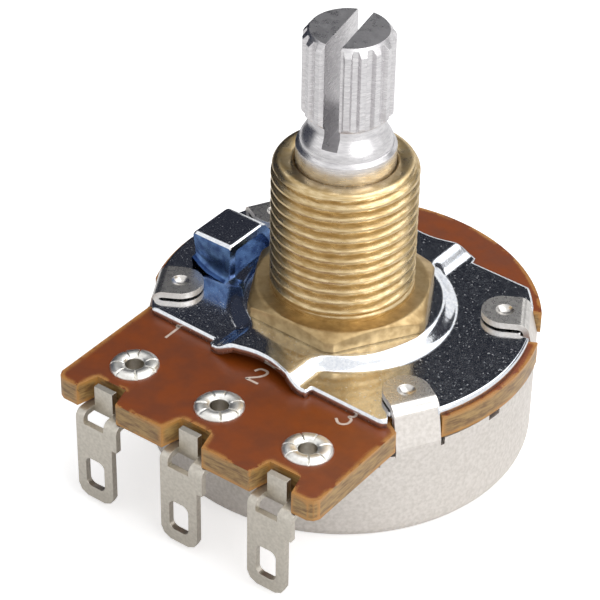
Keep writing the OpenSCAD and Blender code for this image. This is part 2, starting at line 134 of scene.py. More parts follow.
@dataclass(frozen=True)
class Finish:
    """A surface finish: one shader with its colour, gloss and relief.

    Args:
        name: what the material is.
        colour: sRGB hex of the clean surface.
        second: sRGB hex that the mottling moves towards.
        metallic: 1 for bare metal and 0 for the rest.
        roughness: mean roughness.
        spread: how far the mottling moves the roughness.
        grain_mm: size of the mottling.
        stretch: how much longer the grain is along each axis.
        relief_mm: height of the relief.
        relief_grain_mm: size of the relief's cells.
        round_mm: radius that the light finds on sharp edges.
    """

    name: str
    colour: str
    second: str
    metallic: float = 0.0
    roughness: float = 0.5
    spread: float = 0.1
    grain_mm: float = 0.8
    stretch: Point = (1.0, 1.0, 1.0)
    relief_mm: float = 0.004
    relief_grain_mm: float = 0.15
    round_mm: float = 0.04

    def build(self) -> bpy.types.Material:
        """Make the Blender material for this finish.

        Returns:
            The material, with a Principled shader driven by its grain.
        """
        made = bpy.data.materials.new(self.name)
        tree = clear_tree(made)
        place = add_node(tree, "ShaderNodeTexCoord")
        scaled = add_node(tree, "ShaderNodeMapping",
                          {"Vector": place.outputs["Object"],
                           "Scale": [1 / s for s in self.stretch]})
        grain = add_node(tree, "ShaderNodeTexNoise",
                         {"Vector": scaled.outputs[0], "Scale": per_mm(self.grain_mm),
                          "Detail": 4.0})
        relief = add_node(tree, "ShaderNodeTexNoise",
                          {"Vector": scaled.outputs[0], "Scale": per_mm(self.relief_grain_mm),
                           "Detail": 2.0})
        share = add_node(tree, "ShaderNodeMapRange",
                         {"Value": grain.outputs[0], "From Min": 0.35, "From Max": 0.65})
        tint = add_node(tree, "ShaderNodeMix",
                        {0: share.outputs[0], 6: srgb(self.colour), 7: srgb(self.second)},
                        data_type="RGBA")
        gloss = add_node(tree, "ShaderNodeMapRange",
                         {"Value": grain.outputs[0], "From Min": 0.3, "From Max": 0.7,
                          "To Min": self.roughness - self.spread / 2,
                          "To Max": self.roughness + self.spread / 2})
        edges = add_node(tree, "ShaderNodeBevel", {"Radius": self.round_mm * MM},
                         samples=BEVEL_SAMPLES)
        bump = add_node(tree, "ShaderNodeBump",
                        {"Height": relief.outputs[0], "Distance": self.relief_mm * MM,
                         "Strength": 1.0, "Normal": edges.outputs[0]})
        shader = add_node(tree, "ShaderNodeBsdfPrincipled",
                          {"Base Color": tint.outputs[2], "Metallic": self.metallic,
                           "Roughness": gloss.outputs[0], "Normal": bump.outputs[0]})
        add_node(tree, "ShaderNodeOutputMaterial", {"Surface": shader.outputs[0]})
        return made


@dataclass(frozen=True)
class Laminate(Finish):
    """Paper phenolic sheet: a smooth resin face, and an edge that shows its paper layers.

    Args:
        edge: sRGB hex of the paper in the edge.
        edge_dark: sRGB hex of the resin between the layers.
        chip: sRGB hex of the paper where a corner has chipped.
        layer_mm: thickness of a bundle of layers.
        flatten: how much finer the layers are than they are long.
        chip_mm: how far a chip reaches in from the corner.
        chip_spread: how much larger the patches are that have chips or none.
    """

    edge: str = "#ab8a55"
    edge_dark: str = "#7a5a35"
    chip: str = "#bb8646"
    layer_mm: float = 0.22
    flatten: float = 0.18
    chip_mm: float = 0.6
    chip_spread: float = 4.0

    def build(self) -> bpy.types.Material:
        """Make the laminate, with its face and its layered edge.

        Returns:
            The material, which tells faces from edges by their normal.
        """
        made = super().build()
        tree = made.node_tree
        shader = shader_of(made)
        face = shader.inputs["Base Color"].links[0].from_socket
        place = add_node(tree, "ShaderNodeTexCoord").outputs["Object"]
        layers = add_node(tree, "ShaderNodeMapping",
                          {"Vector": place, "Scale": (self.flatten, self.flatten, 1.0)})
        fibre = add_node(tree, "ShaderNodeTexNoise",
                         {"Vector": layers.outputs[0], "Scale": per_mm(self.layer_mm),
                          "Detail": 5.0, "Roughness": 0.65})
        share = add_node(tree, "ShaderNodeMapRange",
                         {"Value": fibre.outputs[0], "From Min": 0.4, "From Max": 0.6})
        edge = add_node(tree, "ShaderNodeMix",
                        {0: share.outputs[0], 6: srgb(self.edge_dark), 7: srgb(self.edge)},
                        data_type="RGBA")
        facing = add_node(tree, "ShaderNodeNewGeometry")
        axis = add_node(tree, "ShaderNodeSeparateXYZ", {0: facing.outputs["Normal"]})
        upright = add_node(tree, "ShaderNodeMath", {0: axis.outputs[2]}, operation="ABSOLUTE")
        flat = add_node(tree, "ShaderNodeMath", {0: upright.outputs[0], 1: 0.5},
                        operation="GREATER_THAN")
        both = add_node(tree, "ShaderNodeMix",
                        {0: flat.outputs[0], 6: edge.outputs[2], 7: face}, data_type="RGBA")
        # The cutting dies have chipped the corners, so that pale paper shows along them:
        # the rounded normal leaves the true one near a corner, by an amount that noise varies
        rounded = add_node(tree, "ShaderNodeBevel", {"Radius": self.chip_mm * MM},
                           samples=BEVEL_SAMPLES)
        bend = add_node(tree, "ShaderNodeVectorMath",
                        {0: rounded.outputs[0], 1: facing.outputs["True Normal"]},
                        operation="DOT_PRODUCT")
        near = add_node(tree, "ShaderNodeMath", {0: 1.0, 1: bend.outputs["Value"]},
                        operation="SUBTRACT")
        patches = add_node(tree, "ShaderNodeTexNoise",
                           {"Vector": place, "Scale": per_mm(self.chip_mm * self.chip_spread),
                            "Detail": 6.0, "Roughness": 0.7})
        deep = add_node(tree, "ShaderNodeMapRange",
                        {"Value": patches.outputs[0], "From Min": 0.44, "From Max": 0.64,
                         "To Min": 0.0, "To Max": 1.6})
        chipped = add_node(tree, "ShaderNodeMath", {0: near.outputs[0], 1: deep.outputs[0]},
                           operation="MULTIPLY")
        bare = add_node(tree, "ShaderNodeMapRange",
                        {"Value": chipped.outputs[0], "From Min": 0.02, "From Max": 0.035})
        worn = add_node(tree, "ShaderNodeMix",
                        {0: bare.outputs[0], 6: both.outputs[2], 7: srgb(self.chip)},
                        data_type="RGBA")
        tree.links.new(worn.outputs[2], shader.inputs["Base Color"])
        return made


@dataclass(frozen=True)
class PittedPlate(Finish):
    """Bright plate over pressed steel: a mirror with scattered matt pits.

    Args:
        pit_mm: distance between pits, a little coarser than real ones so that they show.
        pit_roughness: roughness inside a pit.
    """

    pit_mm: float = 0.16
    pit_roughness: float = 0.34

    def build(self) -> bpy.types.Material:
        """Make the plate, with its pits.

        Returns:
            The material, whose roughness rises in each pit.
        """
        made = super().build()
        tree = made.node_tree
        shader = shader_of(made)
        gloss = shader.inputs["Roughness"].links[0].from_socket
        place = add_node(tree, "ShaderNodeTexCoord")
        spots = add_node(tree, "ShaderNodeTexNoise",
                         {"Vector": place.outputs["Object"], "Scale": per_mm(self.pit_mm),
                          "Detail": 1.0})
        pits = add_node(tree, "ShaderNodeMapRange",
                        {"Value": spots.outputs[0], "From Min": 0.64, "From Max": 0.78})
        rough = add_node(tree, "ShaderNodeMix",
                         {0: pits.outputs[0], 2: gloss, 3: self.pit_roughness},
                         data_type="FLOAT")
        tree.links.new(rough.outputs[0], shader.inputs["Roughness"])
        return made


class Metal(Enum):
    """The bare and plated metals of the part."""

    # Turned free-cutting brass: pale and warm, with fine tool rings that soften the gloss
    BRASS = Finish("turned_brass", "#e2cca2", "#bfa474", 1.0, 0.3, 0.12, 0.7, (1, 1, 0.12),
                   relief_mm=0.003, relief_grain_mm=0.12)
    # The hex keeps the drawn bar's skin, duller than what the tool has cut; its browner, darker
    # colour is painted shade, for the dark surroundings that the hex faces reflect
    BAR_BRASS_AND_SHADE = Finish("drawn_brass_bar_painted_shade", "#bfa67b", "#a0875f", 1.0, 0.4, 0.12, 0.7,
                       relief_mm=0.003, relief_grain_mm=0.15)
    # Turned aluminium bar: bright and slightly grainy
    ALUMINIUM = Finish("turned_aluminium", "#e8e6e7", "#cfcdcf", 1.0, 0.3, 0.1, 0.5, (1, 1, 0.15),
                       relief_mm=0.0015, relief_grain_mm=0.1)
    # Zinc plate over pressed steel: mirror bright, with a fine speckle of pits and handling marks
    ZINC = PittedPlate("bright_zinc_plate", "#f1f3f6", "#dfe3ea", 1.0, 0.13, 0.1, 0.2,
                       relief_mm=0.002, relief_grain_mm=0.12)
    # Painted reflection: the same zinc coloured dark blue, for the dark blue reflections on the
    # lug's walls
    ZINC_PAINTED_REFLECTION = Finish("zinc_painted_blue_reflection", "#6484b2", "#3f5480", 1.0, 0.26, 0.1, 0.6,
                       relief_mm=0.004, relief_grain_mm=0.3)
    # Tin plate, drawn into a can: pale and matt, with a fine speckle
    TIN = Finish("drawn_tin_plate", "#e6e1dc", "#d8d3cd", 1.0, 0.55, 0.1, 0.25,
                 relief_mm=0.005, relief_grain_mm=0.12)
    # Tin plate that the crimping tool has burnished
    PRESSED_TIN = Finish("burnished_tin_plate", "#dfdcd8", "#c9c6c2", 1.0, 0.28, 0.08, 0.3,
                         relief_mm=0.001, relief_grain_mm=0.15)
    # Painted shade: a darker tin on the upward faces of the can's rim under the board, which would
    # otherwise catch too much light
    RIM_PAINTED_SHADE = Finish("tin_rim_painted_shade", "#c0bcb6", "#aeaaa4", 1.0, 0.5, 0.1, 0.3,
                     relief_mm=0.002, relief_grain_mm=0.12)
    # Hot tinned brass: soft satin
    TINNED = Finish("tinned_brass", "#d3cdc2", "#c5bfb4", 1.0, 0.36, 0.08, 0.2,
                    relief_mm=0.002, relief_grain_mm=0.12)
    # Bright tin on the flared eyelets
    EYELET = Finish("bright_tin_eyelet", "#f6f5f1", "#e4e2dc", 1.0, 0.36, 0.1, 0.3,
                    relief_mm=0.003, relief_grain_mm=0.12)
    # Plain spring steel: a cool grey with the soft shine of rolled strip
    SPRING = Finish("spring_steel", "#9a9ca0", "#84868a", 1.0, 0.32, 0.1, 0.6)
    # Rolled phosphor bronze: a warm brown gold with a soft shine
    BRONZE = Finish("phosphor_bronze", "#c59a62", "#b3874f", 1.0, 0.3, 0.1, 0.6)
    # Screen printed silver ink: pale grey and matt
    SILVER = Finish("printed_silver", "#c4c3bf", "#a9a8a3", 1.0, 0.5, 0.1, 0.2)


class Plain(Enum):
    """The materials that aren't metal."""

    # Paper phenolic: glossy resin over brown paper, with a fibrous sawn edge
    PHENOLIC = Laminate("paper_phenolic", "#843d0c", "#72340c", 0.0, 0.34, 0.1, 1.5,
                        relief_mm=0.003, relief_grain_mm=0.25)
    # Carbon ink and sintered carbon: black and matt
    CARBON = Finish("carbon_print", "#1b1b1c", "#262627", 0.0, 0.6, 0.1, 0.3)
    # Vulcanised fibre paper: buff, with hardly any shine
    FIBRE = Finish("fish_paper", "#b49a6c", "#a1885c", 0.0, 0.8, 0.1, 0.6)
    # Moulded black phenolic: nearly black, with the mould's satin skin
    MOULDED = Finish("black_phenolic_moulding", "#1e1d1c", "#2b2a28", 0.0, 0.4, 0.1, 1.0)
    # Screen printed white ink: matt, and tinted by the brown board under it
    INK = Finish("white_ink", "#d8c6b9", "#c4ae9e", 0.0, 0.6, 0.1, 0.3)


class Palette:
    """Builds each finish once and hands out its material."""

    def __init__(self) -> None:
        """Start with no materials."""
        self._made: dict[str, bpy.types.Material] = {}

    def get(self, finish: Metal | Plain) -> bpy.types.Material:
        """Return the material of a finish, made on first use.

        Args:
            finish: a metal or a plain material.

        Returns:
            Its material.
        """
        if finish.value.name not in self._made:
            self._made[finish.value.name] = finish.value.build()
        return self._made[finish.value.name]

    def dress(self, piece: bpy.types.Object, finish: Metal | Plain) -> None:
        """Give a piece one finish all over.

        Args:
            piece: the piece.
            finish: its metal or plain material.
        """
        piece.data.materials.clear()
        piece.data.materials.append(self.get(finish))


def make_piece(name: str, points: Sequence[Point], faces: Iterable[Sequence[int]],
               crease_deg: float = 35.0) -> bpy.types.Object:
    """Make a mesh object from points and faces.

    Args:
        name: the piece's name.
        points: corners in metres.
        faces: lists of indices into points.
        crease_deg: edges sharper than this stay sharp in the shading.

    Returns:
        The linked object.
    """
    mesh = bpy.data.meshes.new(name)
    mesh.from_pydata([tuple(p) for p in points], [], [tuple(f) for f in faces])
    mesh.validate()
    mesh.shade_smooth()
    mesh.set_sharp_from_angle(angle=math.radians(crease_deg))
    piece = bpy.data.objects.new(name, mesh)
    bpy.context.scene.collection.objects.link(piece)
    return piece


def make_card(name: str, width: float, height: float) -> bpy.types.Object:
    """Make a flat card that faces up its own Z axis, with its middle at the origin.

    Args:
        name: the card's name.
        width: size along X in metres.
        height: size along Y in metres.

    Returns:
        The linked object.
    """
    w, h = width / 2, height / 2
    return make_piece(name, [(-w, -h, 0), (w, -h, 0), (w, h, 0), (-w, h, 0)], [(0, 1, 2, 3)])


def wrap_faces(rows: int, columns: int) -> list[tuple[int, int, int, int]]:
    """Return quads for rows of points that each close on themselves.

    Args:
        rows: number of rows.
        columns: points in each row.

    Returns:
        The quads, wound so that a profile that runs inside, up, out and down faces outwards.
    """
    return [(r * columns + c, r * columns + (c + 1) % columns,
             (r + 1) * columns + (c + 1) % columns, (r + 1) * columns + c)
            for r in range(rows - 1) for c in range(columns)]


def revolve(name: str, profile: Sequence[tuple[float, float]], columns: int,
            shape: Callable[[float, float, float], tuple[float, float]] | None = None,
            crease_deg: float = 35.0) -> bpy.types.Object:
    """Turn a profile of radius and height around the Z axis, with an optional change by angle.

    Args:
        name: the piece's name.
        profile: radius and height pairs in millimetres, up the outside and then inwards.
        columns: points around the axis.
        shape: gives the radius and height for a profile point and an angle.
        crease_deg: edges sharper than this stay sharp.

    Returns:
        The linked object.
    """
    points = []
    for radius, height in profile:
        for c in range(columns):
            angle = 2 * math.pi * c / columns
            r, z = shape(radius, height, angle) if shape else (radius, height)
            points.append((r * math.cos(angle) * MM, r * math.sin(angle) * MM, z * MM))
    return make_piece(name, points, wrap_faces(len(profile), columns), crease_deg)


@dataclass
class ThreadedBushing:
    """Brass bushing: a fine thread over a hex shoulder, staked through the plate.

    Sizes are in millimetres.
    """

    palette: Palette
    major_r: float = 4.5
    height: float = 9.0
    bore_r: float = 3.08
    thread_pitch: float = 0.75
    thread_depth: float = 0.42
    crest: float = 0.04
    flank: float = 0.72
    chamfer: float = 0.6
    chamfer_h: float = 0.8
    runout_z: float = 0.3
    runout_h: float = 0.4
    relief_r: float = 4.15
    hex_af: float = 11.0
    hex_t: float = 1.1
    hex_turn_deg: float = -1.6
    hex_edge: float = 0.12
    hex_slope: float = 0.45
    corner_r: float = 6.19
    hole_r: float = 4.0
    hole_top: float = -1.7
    staked_r: float = 4.4
    staked_z: float = -2.05
    bore_low: float = -2.0
    bore_edge: float = 0.2
    face_rings: int = 11
    ring_step: float = 0.13
    rows_per_turn: int = 16
    columns: int = 96

    def _thread(self, radius: float, height: float, angle: float) -> tuple[float, float]:
        """Cut the helix into the bushing's outside.

        Args:
            radius: the blank's radius.
            height: height over the seat.
            angle: angle around the axis in radians.

        Returns:
            The radius and height of the cut form.
        """
        if radius < self.major_r - 0.01 or height < self.runout_z:
            return radius, height
        turn = (height / self.thread_pitch - angle / (2 * math.pi)) % 1.0
        groove = max(0.0, min(1.0, (abs(turn - 0.5) * 2 - self.crest) / self.flank))
        fade = smooth((height - self.runout_z) / self.runout_h)
        cut = self.thread_depth * (1 - groove) * fade
        past = max(0.0, height / self.chamfer_h - self.height / self.chamfer_h + 1)
        limit = self.major_r - self.chamfer * (1 - math.sqrt(max(0.0, 1 - past * past)))
        return min(self.major_r - cut, limit), height

    def _hex(self, radius: float, height: float, angle: float) -> tuple[float, float]:
        """Turn the round blank into a hex with chamfered corners.

        Args:
            radius: the blank's radius.
            height: height over the seat.
            angle: angle around the axis in radians.

        Returns:
            The radius and height of the hex.
        """
        if radius < self.relief_r + 0.1:
            return radius, height
        away = (angle - math.radians(self.hex_turn_deg)) % math.radians(60) - math.radians(30)
        flat = self.hex_af / 2 / math.cos(away)
        share = (radius - self.relief_r) / (self.corner_r - self.relief_r)
        outer = min(flat, self.corner_r)
        r = self.relief_r + share * (outer - self.relief_r)
        drop = max(0.0, r - self.hex_af / 2 + self.hex_edge) * self.hex_slope
        return r, height - drop if height > -0.3 else height

    def build(self) -> list[bpy.types.Object]:
        """Make the threaded sleeve and the hex shoulder.

        Returns:
            Both pieces, which stand for the CAD bushing.
        """
        steps = int(round((self.height - 0.02) / self.thread_pitch * self.rows_per_turn))
        outside = [(self.major_r, self.height * i / steps) for i in range(steps + 1)]
        top = [(self.major_r - self.chamfer - 0.03, self.height),
               (self.bore_r + self.bore_edge, self.height),
               (self.bore_r, self.height - self.bore_edge), (self.bore_r, self.bore_low)]
        foot = [(self.staked_r - 0.1, self.staked_z), (self.staked_r, self.staked_z + 0.3),
                (self.hole_r, self.hole_top), (self.hole_r, 0.0), (self.relief_r, 0.0)]
        sleeve = revolve("thread_sleeve", foot + outside + top, self.columns, self._thread, 50)
        corner, low = self.corner_r, -self.hex_t
        blank = [(self.hole_r, low), (corner - 0.12, low), (corner, low + 0.1),
                 (corner, -0.12), (corner - 0.06, -0.03), (corner - 0.2, 0.0)]
        blank += [(corner - 0.2 - self.ring_step * i, 0.0)
                  for i in range(1, self.face_rings + 1)] + [(self.hole_r, 0.0)]
        shoulder = revolve("hex_shoulder", blank, 360, self._hex, 28)
        # The hex shoulder gets the brass darkened as painted shade
        for piece, finish in ((sleeve, Metal.BRASS), (shoulder, Metal.BAR_BRASS_AND_SHADE)):
            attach(piece, HOUSING)
            self.palette.dress(piece, finish)
        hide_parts("bushing")
        return [sleeve, shoulder]


@dataclass
class FrontPlate:
    """Pressed steel plate with its disc and ridge, and the drawn locating lug.

    Sizes are in millimetres.
    """

    palette: Palette
    radius: float = 11.85
    shift_x: float = 0.1
    tabs_deg: tuple[float, ...] = (-32.0, 29.0, 151.0, 209.0)
    tab_half_deg: float = 7.7
    tab_notch: float = 0.6
    thickness: float = 0.6
    flat_z: float = -1.7
    press: float = 0.6
    disc_r: float = 6.1
    flank: float = 1.15
    ridge_w: float = 3.45
    ridge_flank: float = 1.4
    front: float = 7.9
    rear: float = 8.65
    turn_deg: float = -1.7
    bore_r: float = 3.95
    edge_bulge: float = 0.6
    edge_rounds: int = 6
    lug_x: tuple[float, float] = (-9.8, -6.85)
    lug_top: float = 0.8
    lug_tall: float = 2.5
    lug_sheet: float = 0.55
    lug_curl: float = 0.3
    lug_climb: float = 0.75
    columns: int = 480
    rows: int = 48

    def _height(self, x: float, y: float) -> float:
        """Find the height of the sheet's top over a point.

        Args:
            x: place across the ridge.
            y: place along the ridge.

        Returns:
            The height over the seat, which is below zero.
        """
        ridge = smooth((self.ridge_w - abs(x)) / self.ridge_flank)
        disc = smooth((self.disc_r + self.flank - math.hypot(x, y)) / self.flank)
        return self.flat_z + self.press * (1 - (1 - ridge) * (1 - disc))

    def _reach(self, angle: float) -> float:
        """Find how far the sheet reaches from the axis.

        Args:
            angle: angle around the axis in radians.

        Returns:
            The distance from the axis to the sheet's edge.
        """
        c, s = math.cos(angle), math.sin(angle)
        away = min(abs((math.degrees(angle) - tab + 180) % 360 - 180) for tab in self.tabs_deg)
        rim = self.radius - (self.tab_notch if away < self.tab_half_deg else 0.0)
        reach = rim
        for _ in range(self.edge_rounds):
            x = reach * c
            # The pressing pushes the edge outwards at the ridge's feet, and not in its middle
            foot = smooth((self.ridge_w + 0.3 - abs(x)) / 0.35) * smooth((abs(x) - 0.2) / 3.0)
            edge = (self.rear if s > 0 else self.front) + self.edge_bulge * foot
            reach = min(rim, edge / max(abs(s), 1e-6))
        return reach

    def build(self) -> list[bpy.types.Object]:
        """Make the sheet and the locating lug.

        Returns:
            Both pieces, which stand for the CAD plate.
        """
        points = []
        for row in range(self.rows + 1):
            share = row / self.rows
            for column in range(self.columns):
                angle = 2 * math.pi * column / self.columns
                r = self.bore_r + share * (self._reach(angle) - self.bore_r)
                x, y = r * math.cos(angle), r * math.sin(angle)
                points.append((x * MM, y * MM, self._height(x, y) * MM))
        faces = [tuple(reversed(f)) for f in wrap_faces(self.rows + 1, self.columns)]
        sheet = make_piece("plate_sheet", points, faces, 50)
        sheet.data.transform(Matrix.Translation((self.shift_x * MM, 0, 0))
                             @ Matrix.Rotation(math.radians(self.turn_deg), 4, "Z"))
        solid = sheet.modifiers.new("thickness", "SOLIDIFY")
        solid.thickness = self.thickness * MM
        solid.offset = -1
        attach(sheet, HOUSING)
        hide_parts("front_plate")
        lug = self._locating_lug()
        for piece in (sheet, lug):
            self.palette.dress(piece, Metal.ZINC)
        # Painted reflection: the lug's walls and its faces below the seat get a dark blue by which
        # way they point, and its top stays as bright as the sheet
        lug.data.materials.append(self.palette.get(Metal.ZINC_PAINTED_REFLECTION))
        for face in lug.data.polygons:
            face.material_index = int(face.normal.z < 0.5 or face.center.z < 0)
        return [sheet, lug]

    def _locating_lug(self) -> bpy.types.Object:
        """Make the bridge of sheet that keys the body to the panel.

        Returns:
            The lug, which rides on the housing.
        """
        section = [(-3.0, -1.69), (-2.7, -1.62), (-2.54, -1.4), (-2.5, -0.9), (-2.5, 0.45),
                   (-2.47, 0.66), (-2.38, 0.77), (-2.22, 0.8), (-2.1, 0.8), (0.7, 0.8), (0.9, 0.78),
                   (1.15, 0.66), (1.6, 0.1), (2.2, -0.9), (2.6, -1.5), (3.1, -1.69)]
        points, count = [], len(section)
        left, right = self.lug_x
        # Towards its outer end the drawn wall curves in and its foot climbs
        for x, curl in ((left, 1.0), (left + 0.1, 0.95), (left + 0.18, 0.9), (left + 0.7, 0.55),
                        (left + 1.4, 0.22), (right - 0.2, 0.0), (right - 0.12, 0.0), (right, 0.0)):
            drop = 0.08 if x in (left, right) else 0.0
            for y, z in section:
                bend = curl * (self.lug_top - z) / self.lug_tall if y < -1 else 0.0
                points.append((x * MM, (y + self.lug_curl * bend) * MM,
                               (z - drop + self.lug_climb * bend) * MM))
        for x in (right, left):
            points += [(x * MM, (y + (self.lug_sheet if y < -1 else -0.3)) * MM,
                        (z - self.lug_sheet) * MM) for y, z in section]
        rows = len(points) // count
        faces = [((r + 1) * count + i, (r + 1) * count + i + 1, r * count + i + 1, r * count + i)
                 for r in range(rows - 1) for i in range(count - 1)]
        last = (rows - 1) * count
        faces += [(i, i + 1, last + i + 1, last + i) for i in range(count - 1)]
        lug = make_piece("locating_lug", points, faces, 40)
        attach(lug, HOUSING)
        return lug


@dataclass
class SolderRow:
    """The laminate board's visible fittings: eyelets and printed numbers.

    Sizes are in millimetres.
    """

    palette: Palette
    pitch: float = 6.5
    row_y: float = -12.3
    board_top: float = -2.3
    board_low: float = -3.8
    bore_r: float = 0.62
    crest_r: float = 1.02
    flare_r: float = 1.5
    crest_h: float = 0.3
    splits: int = 7
    split_w: float = 0.13
    split_depth: float = 0.2
    split_wander: float = 0.35
    out_of_round: float = 0.04
    dome_r: float = 0.46
    dome_edge: float = 0.06
    shank_r: float = 0.93
    foot_t: float = 0.8
    foot_sheet: float = 0.24
    stroke: float = 0.17
    ink_h: float = 0.012
    digits: dict[str, tuple[tuple[float, float], ...]] = field(default_factory=lambda: {
        "printed_1": ((-7.0, -7.75), (-6.8, -7.5), (-6.8, -7.9), (-6.8, -9.0)),
        "printed_2": ((-0.46, -8.28), (-0.3, -7.86), (0.32, -7.84), (0.3, -8.4), (-0.42, -9.12),
                      (-0.44, -9.16), (0.1, -9.16), (0.47, -9.16)),
        "printed_3": ((6.1, -8.06), (6.25, -7.72), (6.84, -7.66), (6.92, -8.2), (6.5, -8.38),
                      (6.92, -8.45), (6.95, -9.0), (6.5, -9.3), (6.07, -8.92))})

    def _eyelet(self, index: int) -> bpy.types.Object:
        """Make one flared eyelet with the splits that its setting leaves.

        Args:
            index: its place in the row, -1, 0 or 1.

        Returns:
            The eyelet, which stands for the CAD rivet.
        """
        def shape(radius: float, height: float, angle: float) -> tuple[float, float]:
            """Notch the flare where the metal has split.

            Args:
                radius: the whole flare's radius.
                height: height over the seat.
                angle: angle around the eyelet in radians.

            Returns:
                The radius and height of the split flare.
            """
            if radius < self.bore_r + 0.05 or height < self.board_top - 0.01:
                return radius, height
            wander = self.split_wander * math.sin(3 * angle + index)
            turn = self.splits * (angle + index) / 2 + wander
            crack = max(0.0, 1 - abs(math.sin(turn)) / self.split_w)
            depth = self.split_depth * crack * smooth((radius - self.bore_r) / 0.3)
            return radius + self.out_of_round * math.sin(2 * angle + index), height - depth

        top, low = self.board_top, self.board_low - self.foot_t
        edge = self.dome_edge
        rise = [(self.flare_r, top), (self.flare_r, top + edge)]
        dome = [(self.crest_r + self.dome_r * math.cos(t),
                 top + edge + (self.crest_h - edge) * math.sin(t))
                for t in (math.radians(a) for a in range(10, 175, 12))]
        throat = [(self.bore_r, top + 0.02), (self.bore_r, low)]
        foot = [(self.flare_r - 0.1, low), (self.flare_r, low + 0.15),
                (self.flare_r, low + self.foot_sheet), (self.shank_r, low + self.foot_sheet),
                (self.shank_r, top)]
        piece = revolve(f"eyelet_{index + 2}", foot + rise + dome + throat, 120, shape, 40)
        piece.data.transform(Matrix.Translation((index * self.pitch * MM, self.row_y * MM, 0)))
        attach(piece, HOUSING)
        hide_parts(f"rivet_{index + 2}")
        self.palette.dress(piece, Metal.EYELET)
        # Painted shade: the bore's faces below the board's top get the darker tinned brass, for the
        # shade deep in the hollow, beside the flare that the setting tool has burnished
        piece.data.materials.append(self.palette.get(Metal.TINNED))
        for face in piece.data.polygons:
            face.material_index = int(face.center.z < (self.board_top - 0.15) * MM)
        return piece

    def _digit(self, name: str, path: Sequence[tuple[float, float]]) -> bpy.types.Object:
        """Print one digit as a flat stroke on the board.

        Args:
            name: the piece's name.
            path: the pen's corners, which two rounds of corner cutting soften.

        Returns:
            The flat piece, just above the board.
        """
        points, faces = [], []
        pen = [Vector(p) for p in path]
        for _ in range(2):
            cut = [a.lerp(b, t) for a, b in zip(pen, pen[1:]) for t in (0.25, 0.75)]
            pen = [pen[0]] + cut + [pen[-1]]
        for i, here in enumerate(pen):
            before, after = pen[max(0, i - 1)], pen[min(len(pen) - 1, i + 1)]
            along = (after - before).normalized()
            across = Vector((-along.y, along.x)) * self.stroke / 2
            for p in (here - across, here + across):
                points.append((p.x * MM, p.y * MM, (self.board_top + self.ink_h) * MM))
        for i in range(len(pen) - 1):
            faces.append((2 * i, 2 * i + 2, 2 * i + 3, 2 * i + 1))
        piece = make_piece(name, points, faces)
        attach(piece, HOUSING)
        self.palette.dress(piece, Plain.INK)
        return piece

    def build(self) -> list[bpy.types.Object]:
        """Make the eyelets and the numbers.

        Returns:
            All new pieces.
        """
        pieces = [self._eyelet(i) for i in (-1, 0, 1)]
        return pieces + [self._digit(name, path) for name, path in self.digits.items()]


@dataclass
class CadPieces:
    """The CAD nodes that keep their own shape and get a finish."""

    palette: Palette
    nodes: dict[str, bpy.types.Object]
    finishes: dict[str, Metal | Plain] = field(default_factory=lambda: {
        "can": Metal.TIN, "can_liner": Plain.FIBRE, "board": Plain.PHENOLIC,
        "resistive_track": Plain.CARBON, "track_end_1": Metal.SILVER, "track_end_3": Metal.SILVER,
        "collector_ring": Metal.SILVER, "front_plate": Metal.ZINC, "bushing": Metal.BRASS,
        "terminal_1": Metal.TINNED, "terminal_2": Metal.TINNED, "terminal_3": Metal.TINNED,
        "rivet_1": Metal.EYELET, "rivet_2": Metal.EYELET, "rivet_3": Metal.EYELET,
        "shaft": Metal.ALUMINIUM, "thrust_washer": Metal.SPRING, "retaining_ring": Metal.SPRING,
        "rotor": Plain.MOULDED, "wiper_spring": Metal.BRONZE, "track_brush": Plain.CARBON,
        "collector_brush": Plain.CARBON, "spring_washer": Metal.SPRING})
    tab_low: float = -1.75
    rim_low: float = -4.2
    tab_slope: float = 0.3
    rim_slope: float = 0.5
    join_mm: float = 0.002
    crease_deg: float = 32.0
    can_crease_deg: float = 11.0

    def _polish_tabs_and_shade_rim(self, can: bpy.types.Object) -> None:
        """Burnish the tops of the crimp tabs, which the tool has pressed, and paint shade on the
        rim's upward faces.

        Args:
            can: the can's node.
        """
        can.data.materials.append(self.palette.get(Metal.PRESSED_TIN))
        can.data.materials.append(self.palette.get(Metal.RIM_PAINTED_SHADE))
        for face in can.data.polygons:
            up, z = face.normal.z, face.center.z
            top = z > self.tab_low * MM and abs(up) > self.tab_slope
            # Painted shade: the upward faces of the rim under the board get the darker tin
            rim = up > self.rim_slope and self.rim_low * MM < z < self.tab_low * MM
            face.material_index = 1 if top else 2 if rim else 0

    def dress(self) -> list[bpy.types.Object]:
        """Give each node its finish, and keep its flat faces flat beside their rounded edges.

        Returns:
            The dressed nodes.
        """
        for name, finish in self.finishes.items():
            node = self.nodes[name]
            self.palette.dress(node, finish)
            weld = node.modifiers.new("joined", "WELD")
            weld.merge_threshold = self.join_mm * MM
            split = node.modifiers.new("parted", "EDGE_SPLIT")
            crease = self.can_crease_deg if name == "can" else self.crease_deg
            split.split_angle = math.radians(crease)
            weigh = node.modifiers.new("weighed", "WEIGHTED_NORMAL")
            weigh.weight = 100
        self._polish_tabs_and_shade_rim(self.nodes["can"])
        return [self.nodes[name] for name in self.finishes]


